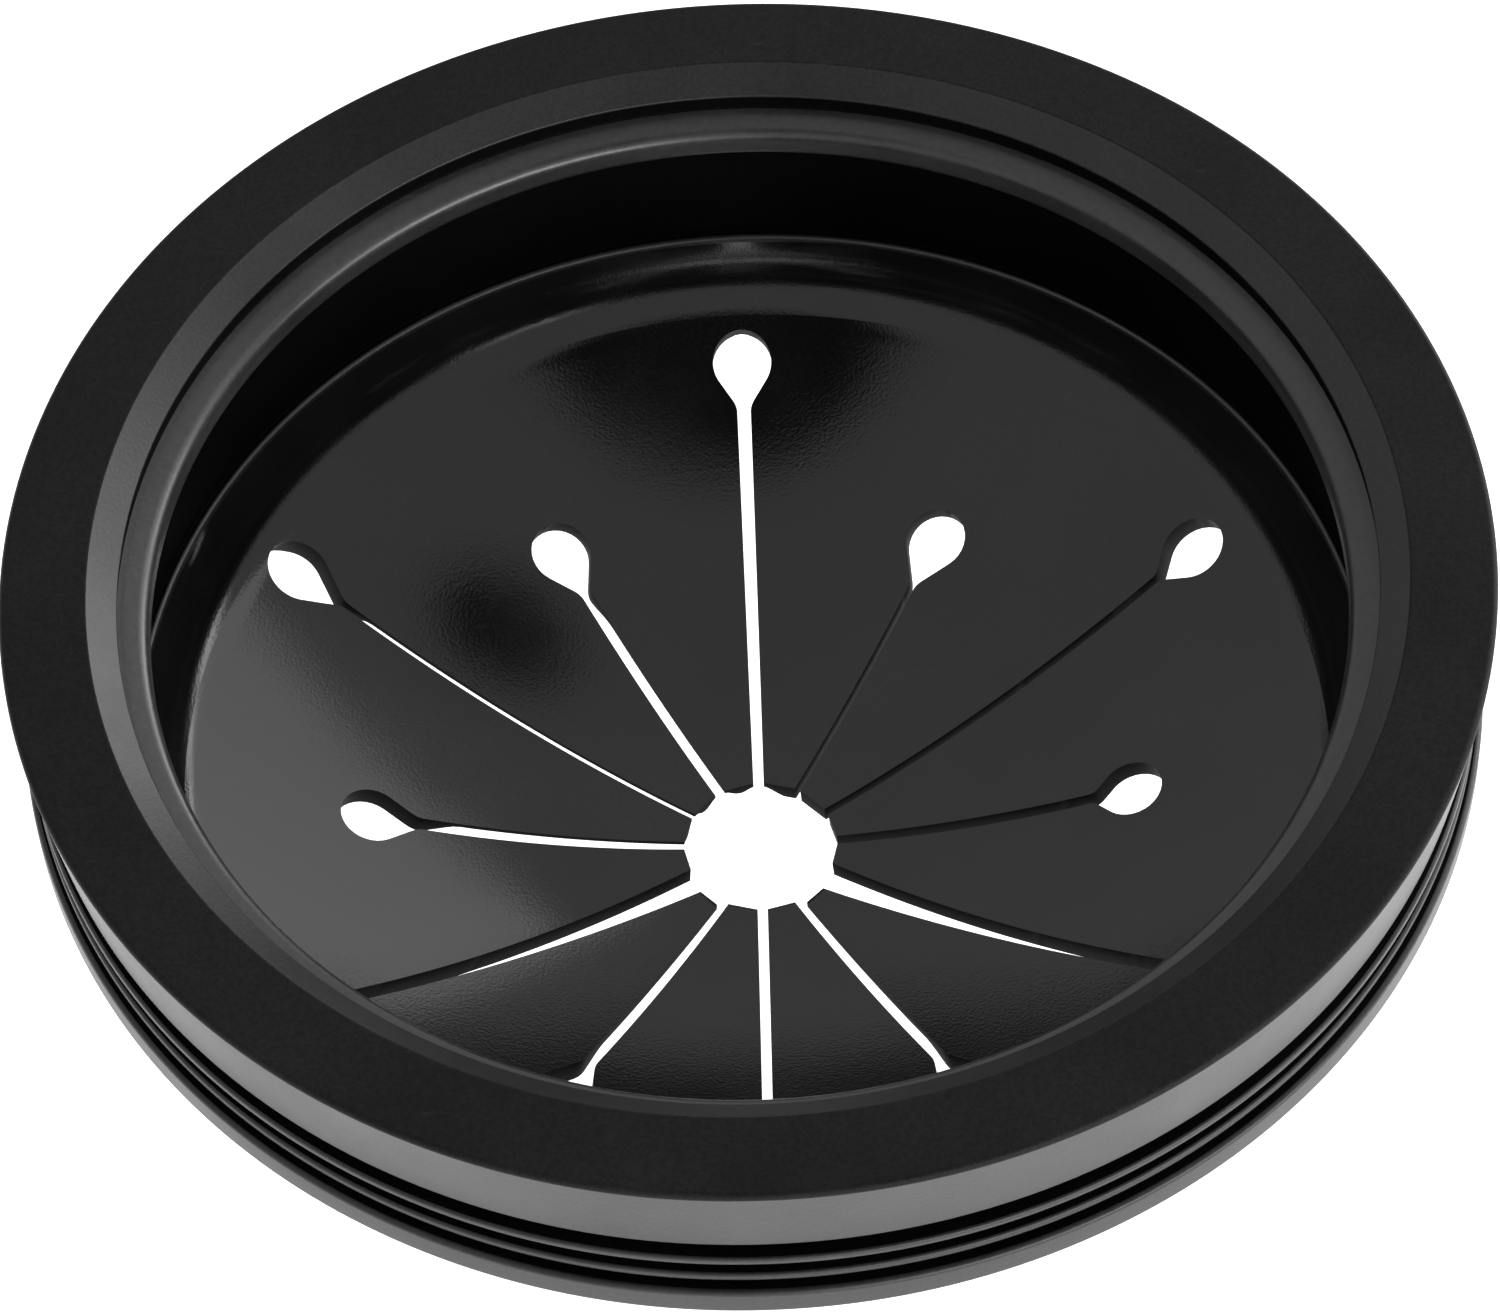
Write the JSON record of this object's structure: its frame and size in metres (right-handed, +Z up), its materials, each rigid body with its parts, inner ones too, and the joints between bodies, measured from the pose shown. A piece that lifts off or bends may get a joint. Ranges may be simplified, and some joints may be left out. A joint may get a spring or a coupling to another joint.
{
  "type": "disposal splash guard",
  "caption": "Round rubber splash guard for a sink waste disposer: ribbed drain collar over a dished bowl slit into folding petals and fingers.",
  "frame": {"origin": "on the axis, in the plane of the foot ring's underside, at the lower end of the ring that seats in the drain sleeve", "axes": "+Z up along the axis, out of the drain; +Y along one long slit; +X along one short slit"},
  "size_m": [0.0794, 0.0794, 0.0282],
  "materials": {
    "collar_rubber": "matte moulded rubber",
    "bowl_rubber": "satin moulded rubber"
  },
  "bodies": {
    "collar": {"mounting_collar": "collar_rubber", "bowl_web": "bowl_rubber"},
    "petal_1": {"petal_1": "bowl_rubber"},
    "finger_1a": {"finger_1a": "bowl_rubber"},
    "finger_1b": {"finger_1b": "bowl_rubber"},
    "petal_2": {"petal_2": "bowl_rubber"},
    "finger_2a": {"finger_2a": "bowl_rubber"},
    "finger_2b": {"finger_2b": "bowl_rubber"},
    "petal_3": {"petal_3": "bowl_rubber"},
    "finger_3a": {"finger_3a": "bowl_rubber"},
    "finger_3b": {"finger_3b": "bowl_rubber"},
    "petal_4": {"petal_4": "bowl_rubber"},
    "finger_4a": {"finger_4a": "bowl_rubber"},
    "finger_4b": {"finger_4b": "bowl_rubber"},
    "petal_5": {"petal_5": "bowl_rubber"},
    "finger_5a": {"finger_5a": "bowl_rubber"},
    "finger_5b": {"finger_5b": "bowl_rubber"},
    "petal_6": {"petal_6": "bowl_rubber"},
    "finger_6a": {"finger_6a": "bowl_rubber"},
    "finger_6b": {"finger_6b": "bowl_rubber"}
  },
  "joints": [
    {"name": "petal_1_fold", "type": "hinge", "parent": "collar", "child": "petal_1", "pos_m": [0.02563, 0, -0.01007], "axis": [0, -1, 0], "range_deg": [-3, 45], "stiffness_Nm_per_rad": 0.008},
    {"name": "finger_1a_fold", "type": "hinge", "parent": "petal_1", "child": "finger_1a", "pos_m": [0.01978, -0.0053, -0.01296], "axis": [-0.2588, -0.9659, 0], "range_deg": [-3, 50], "stiffness_Nm_per_rad": 0.0015},
    {"name": "finger_1b_fold", "type": "hinge", "parent": "petal_1", "child": "finger_1b", "pos_m": [0.01978, 0.0053, -0.01296], "axis": [0.2588, -0.9659, 0], "range_deg": [-3, 50], "stiffness_Nm_per_rad": 0.0015},
    {"name": "petal_2_fold", "type": "hinge", "parent": "collar", "child": "petal_2", "pos_m": [0.01282, 0.0222, -0.01007], "axis": [0.866, -0.5, 0], "range_deg": [-3, 45], "stiffness_Nm_per_rad": 0.008},
    {"name": "finger_2a_fold", "type": "hinge", "parent": "petal_2", "child": "finger_2a", "pos_m": [0.01448, 0.01448, -0.01296], "axis": [0.7071, -0.7071, 0], "range_deg": [-3, 50], "stiffness_Nm_per_rad": 0.0015},
    {"name": "finger_2b_fold", "type": "hinge", "parent": "petal_2", "child": "finger_2b", "pos_m": [0.0053, 0.01978, -0.01296], "axis": [0.9659, -0.2588, 0], "range_deg": [-3, 50], "stiffness_Nm_per_rad": 0.0015},
    {"name": "petal_3_fold", "type": "hinge", "parent": "collar", "child": "petal_3", "pos_m": [-0.01282, 0.0222, -0.01007], "axis": [0.866, 0.5, 0], "range_deg": [-3, 45], "stiffness_Nm_per_rad": 0.008},
    {"name": "finger_3a_fold", "type": "hinge", "parent": "petal_3", "child": "finger_3a", "pos_m": [-0.0053, 0.01978, -0.01296], "axis": [0.9659, 0.2588, 0], "range_deg": [-3, 50], "stiffness_Nm_per_rad": 0.0015},
    {"name": "finger_3b_fold", "type": "hinge", "parent": "petal_3", "child": "finger_3b", "pos_m": [-0.01448, 0.01448, -0.01296], "axis": [0.7071, 0.7071, 0], "range_deg": [-3, 50], "stiffness_Nm_per_rad": 0.0015},
    {"name": "petal_4_fold", "type": "hinge", "parent": "collar", "child": "petal_4", "pos_m": [-0.02563, 0, -0.01007], "axis": [0, 1, 0], "range_deg": [-3, 45], "stiffness_Nm_per_rad": 0.008},
    {"name": "finger_4a_fold", "type": "hinge", "parent": "petal_4", "child": "finger_4a", "pos_m": [-0.01978, 0.0053, -0.01296], "axis": [0.2588, 0.9659, 0], "range_deg": [-3, 50], "stiffness_Nm_per_rad": 0.0015},
    {"name": "finger_4b_fold", "type": "hinge", "parent": "petal_4", "child": "finger_4b", "pos_m": [-0.01978, -0.0053, -0.01296], "axis": [-0.2588, 0.9659, 0], "range_deg": [-3, 50], "stiffness_Nm_per_rad": 0.0015},
    {"name": "petal_5_fold", "type": "hinge", "parent": "collar", "child": "petal_5", "pos_m": [-0.01282, -0.0222, -0.01007], "axis": [-0.866, 0.5, 0], "range_deg": [-3, 45], "stiffness_Nm_per_rad": 0.008},
    {"name": "finger_5a_fold", "type": "hinge", "parent": "petal_5", "child": "finger_5a", "pos_m": [-0.01448, -0.01448, -0.01296], "axis": [-0.7071, 0.7071, 0], "range_deg": [-3, 50], "stiffness_Nm_per_rad": 0.0015},
    {"name": "finger_5b_fold", "type": "hinge", "parent": "petal_5", "child": "finger_5b", "pos_m": [-0.0053, -0.01978, -0.01296], "axis": [-0.9659, 0.2588, 0], "range_deg": [-3, 50], "stiffness_Nm_per_rad": 0.0015},
    {"name": "petal_6_fold", "type": "hinge", "parent": "collar", "child": "petal_6", "pos_m": [0.01282, -0.0222, -0.01007], "axis": [-0.866, -0.5, 0], "range_deg": [-3, 45], "stiffness_Nm_per_rad": 0.008},
    {"name": "finger_6a_fold", "type": "hinge", "parent": "petal_6", "child": "finger_6a", "pos_m": [0.0053, -0.01978, -0.01296], "axis": [-0.9659, -0.2588, 0], "range_deg": [-3, 50], "stiffness_Nm_per_rad": 0.0015},
    {"name": "finger_6b_fold", "type": "hinge", "parent": "petal_6", "child": "finger_6b", "pos_m": [0.01448, -0.01448, -0.01296], "axis": [-0.7071, -0.7071, 0], "range_deg": [-3, 50], "stiffness_Nm_per_rad": 0.0015}
  ]
}
